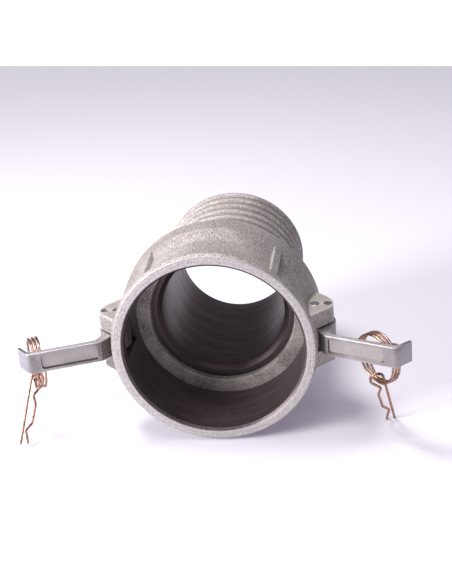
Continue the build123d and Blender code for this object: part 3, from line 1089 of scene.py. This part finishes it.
def makePullRing(side):
    centre, along, across = ringFrame(side)
    piece = meshPiece("pullRing." + side, [(0, 0, 0)], [], [])
    piece = runTree(piece, coilTree, {
        "Centre": tuple(centre * mm), "Along": tuple(along), "Across": tuple(across),
        "Radius": ring["r"] * mm, "Wire radius": ring["wireR"] * mm,
        "Turns": ring["turns"], "Steps": ring["steps"],
        "Close": ring["close"] * mm, "Open": ring["open"] * mm,
        "Opening": radians(ring["opening"]), "End": radians(ring["end"]),
        "Hole": radians(holeAngle), "Eye": radians(clip["place"][side]),
        "Finish": platedWire,
    })
    editMesh(piece, outwardFaces)
    softShade(piece, 50)
    return piece


def clipPlace(side):
    centre, along, across = ringFrame(side)
    place, sign = radians(clip["place"][side]), sides[side]
    radial = along * sin(place) - Vector((0, 0, cos(place)))
    eye = centre + radial * ring["r"] + across * coilMiddle(clip["place"][side])
    out, back = clip["lean"][side]
    down = sqrt(clip["length"] ** 2 - out ** 2 - back ** 2)
    legs = Vector((sign * out, back, -down)).normalized()
    x, y, z = clip["spread"][side]
    spread = Vector((sign * x, y, z))
    spread = (spread - legs * spread.dot(legs)).normalized()
    return eye, spread, legs


def makeClip(side):
    r, length = clip["eyeR"], clip["length"]
    path = [
        (-r, length, 0), (-r, -r, r - 0.1), (r, -r, r - 0.1), (r, 3.0, 3.0), (-0.9, 10.9, 2.5),
        (1.9, 17.2, 5.0), (1.4, 30.6, 3.0), (-2.2, 36.0, 2.0), (1.0, length - 1.0, 0),
    ]
    eye, spread, legs = clipPlace(side)
    points = [(eye + spread * x + legs * y) * mm for x, y, _ in path]
    piece = meshPiece("safetyClip." + side, points, [], [])
    piece.data.edges.add(len(path) - 1)
    piece.data.edges.foreach_set("vertices", [v for i in range(len(path) - 1) for v in (i, i + 1)])
    corner = piece.data.attributes.new("corner", "FLOAT", "POINT")
    corner.data.foreach_set("value", [bend * mm for _, _, bend in path])
    piece.data.update()
    piece = runTree(piece, clipTree, {
        "Wire radius": clip["wireR"] * mm, "Arc points": clip["arcPoints"], "Finish": platedWire,
    })
    editMesh(piece, outwardFaces)
    softShade(piece, 50)
    return piece


# each piece rides its body and stands for its part
def hand(piece, body, node):
    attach(piece, body)
    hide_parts(node)


hand(couplerBody, "coupler_body", "body_casting")
hand(sealRing, "coupler_body", "seal_ring")
for side in sides:
    hand(makePin(side), "coupler_body", "pivot_pin_" + side)
    hand(makeLever(side), "lever_" + side, "cam_lever_" + side)
    hand(makePullRing(side), "ring_" + side, "pull_ring_" + side)
    hand(makeClip(side), "clip_" + side, "safety_clip_" + side)
    print(side, "lever, ring and clip built")


# camera, floor and light
camera = {
    "place": (0.1115, -0.6910, 0.3513),
    "right": (0.9904, 0.1071, -0.0871),
    "up": (0.0336, 0.4249, 0.9046),
    "back": (0.1339, -0.8989, 0.4172),
    "focal": 1150.0, "frame": (452, 584), "edgeRow": 66,
}
studio = {
    "floorHeight": -0.0698, "floorSpan": 30, "backdrop": 1.05, "ambient": 0.2,
    "floorColour": (0.71, 0.7, 0.74), "fibreColour": (0.86, 0.86, 0.9),
    "glowNear": (0.13, 0.115, 0.16), "glowFar": (0.7, 0.68, 0.73), "glowReach": (0.7, 2.6),
    "ambientColour": (0.93, 0.88, 1.0),
    "lights": {
        "keySoftbox": ((-0.4, 0.14, 1.1), 0.35, 12.0, (1.0, 0.985, 0.975)),
        "leftSoftbox": ((-1.05, -0.62, 0.5), 0.5, 22.0, (1.0, 0.985, 0.98)),
        "topSoftbox": ((0.1, -0.45, 1.15), 0.7, 4.5, (1.0, 0.99, 0.985)),
    },
}


def makeCamera():
    data = bpy.data.cameras.new("view")
    data.sensor_width = 36.0
    data.lens = 36.0 * camera["focal"] / max(camera["frame"])
    data.clip_start, data.clip_end = 0.01, 100
    eye = bpy.data.objects.new("view", data)
    bpy.context.scene.collection.objects.link(eye)
    turn = Matrix((camera["right"], camera["up"], camera["back"])).transposed().to_4x4()
    eye.matrix_world = Matrix.Translation(camera["place"]) @ turn
    bpy.context.scene.camera = eye


def floorPoint(column, row):
    # where a ray of the camera meets the floor
    width, height = camera["frame"]
    ray = Vector(camera["right"]) * (column - width / 2)
    ray = ray - Vector(camera["up"]) * (row - height / 2)
    ray = ray - Vector(camera["back"]) * camera["focal"]
    start = Vector(camera["place"])
    return start + ray * ((studio["floorHeight"] - start.z) / ray.z)


def makeFloor():
    span, row = studio["floorSpan"], camera["edgeRow"]
    a, b = floorPoint(0, row), floorPoint(camera["frame"][0], row)
    run = (b - a).normalized() * span
    corners = [a - run, b + run, Vector((span, -span, a.z)), Vector((-span, -span, a.z))]
    material, tree, shader, where = newFinish("paperFloor", 0.0, 0.2)
    fibre = useGroup(tree, grainField, Vector=where, Scale=260.0).outputs
    fleck = calc(tree, "MULTIPLY", fibre["Speck"], 0.06)
    colour = blendColour(tree, fleck, studio["floorColour"], studio["fibreColour"])
    tree.links.new(colour, shader.inputs["Base Color"])
    shader.inputs["Roughness"].default_value = 0.6
    # the floor glows by itself: painted light, faint lilac near the body to lift the shadows,
    # brighter far off
    shader.inputs["Emission Strength"].default_value = 1.0
    away = addNode(tree, "ShaderNodeVectorMath", {0: where}, operation="LENGTH").outputs["Value"]
    far = ramp(tree, away, *studio["glowReach"])
    glow = blendColour(tree, far, studio["glowNear"], studio["glowFar"])
    tree.links.new(glow, shader.inputs["Emission Color"])
    meshPiece("paperFloor", corners, [(3, 2, 1, 0)], [material])


def makeLights():
    for name, (place, size, watts, colour) in studio["lights"].items():
        data = bpy.data.lights.new(name, "AREA")
        data.shape = "SQUARE"
        data.size, data.energy, data.color = size, watts, colour
        lamp = bpy.data.objects.new(name, data)
        bpy.context.scene.collection.objects.link(lamp)
        lamp.location = place
        lamp.rotation_euler = (-Vector(place)).to_track_quat("-Z", "Y").to_euler()
    world = bpy.data.worlds.new("studio")
    world.use_nodes = True
    bpy.context.scene.world = world
    tree = world.node_tree
    shade = tree.nodes["Background"]
    seen = addNode(tree, "ShaderNodeLightPath").outputs["Is Camera Ray"]
    dim = studio["ambient"]
    strength = calc(tree, "MULTIPLY_ADD", seen, studio["backdrop"] - dim, dim)
    tint = blendColour(tree, seen, studio["ambientColour"], (1.0, 1.0, 1.0))
    tree.links.new(tint, shade.inputs["Color"])
    tree.links.new(strength, shade.inputs["Strength"])


makeCamera()
makeFloor()
makeLights()
bpy.context.scene.view_settings.view_transform = "Standard"
print("studio set")
